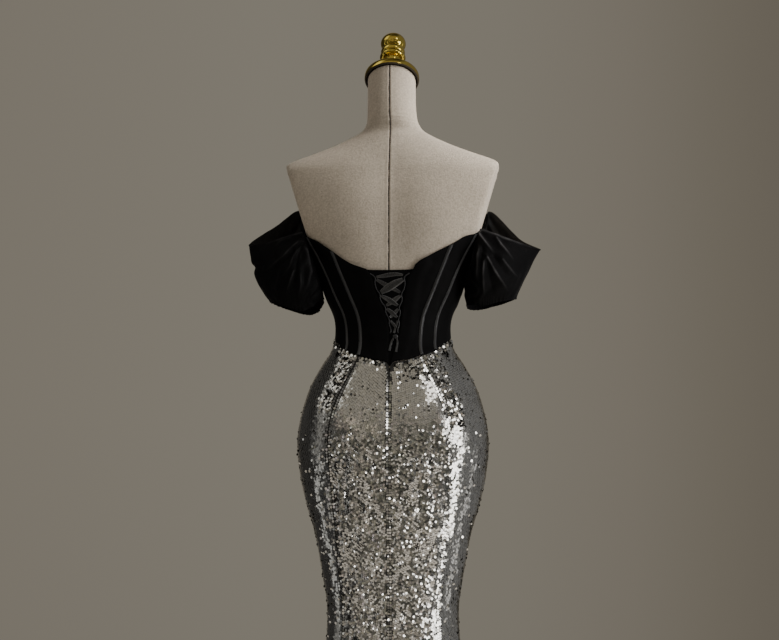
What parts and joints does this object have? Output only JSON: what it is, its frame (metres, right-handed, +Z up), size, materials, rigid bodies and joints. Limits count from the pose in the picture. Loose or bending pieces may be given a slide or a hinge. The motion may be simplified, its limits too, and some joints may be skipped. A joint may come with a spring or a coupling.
{
  "type": "evening gown on a dress form",
  "caption": "Off-the-shoulder gown with a laced velvet bodice, draped sleeves and a sequined mermaid skirt, on a limbless linen dress form with a stand.",
  "frame": {"origin": "the middle of the stand's base, on its underside, on the floor", "axes": "+Z up; the gown's laced back faces -Y and its front +Y, so the wearer's left is -X"},
  "size_m": [0.687, 0.6889, 1.6725],
  "materials": {
    "linen": "matt fine-woven linen cover, warm beige with small darker flecks",
    "brass": "polished yellow brass",
    "black_metal": "black enamel, half matt",
    "velvet": "black short-pile velvet, deep black with a grey sheen on its folds",
    "satin": "black satin ribbon and binding, a soft grey shine",
    "sequins": "silver sequins sewn flat and close over a grey net"
  },
  "bodies": {
    "root": {"back_insert": "velvet", "bodice_back_left": "velvet", "bodice_back_right": "velvet", "bodice_front": "velvet", "bodice_side_back_left": "velvet", "bodice_side_back_right": "velvet", "bodice_side_front_left": "velvet", "bodice_side_front_right": "velvet", "bodice_side_left": "velvet", "bodice_side_right": "velvet", "channel_inner_left": "satin", "channel_inner_right": "satin", "channel_outer_left": "satin", "channel_outer_right": "satin", "form_base": "black_metal", "form_finial": "brass", "form_neck_cap": "brass", "form_pole": "black_metal", "form_torso": "linen", "lace_1_over": "satin", "lace_1_under": "satin", "lace_2_over": "satin", "lace_2_under": "satin", "lace_3_over": "satin", "lace_3_under": "satin", "lace_4_over": "satin", "lace_4_under": "satin", "lace_knot": "satin", "lace_tail_left": "satin", "lace_tail_right": "satin", "lace_top": "satin", "loops_left": "satin", "loops_right": "satin", "skirt_back_left": "sequins", "skirt_back_right": "sequins", "skirt_front": "sequins", "skirt_side_left": "sequins", "skirt_side_right": "sequins", "sleeve_left": "velvet", "sleeve_right": "velvet", "zip_slider": "black_metal", "zip_tape": "satin"}
  },
  "joints": []
}
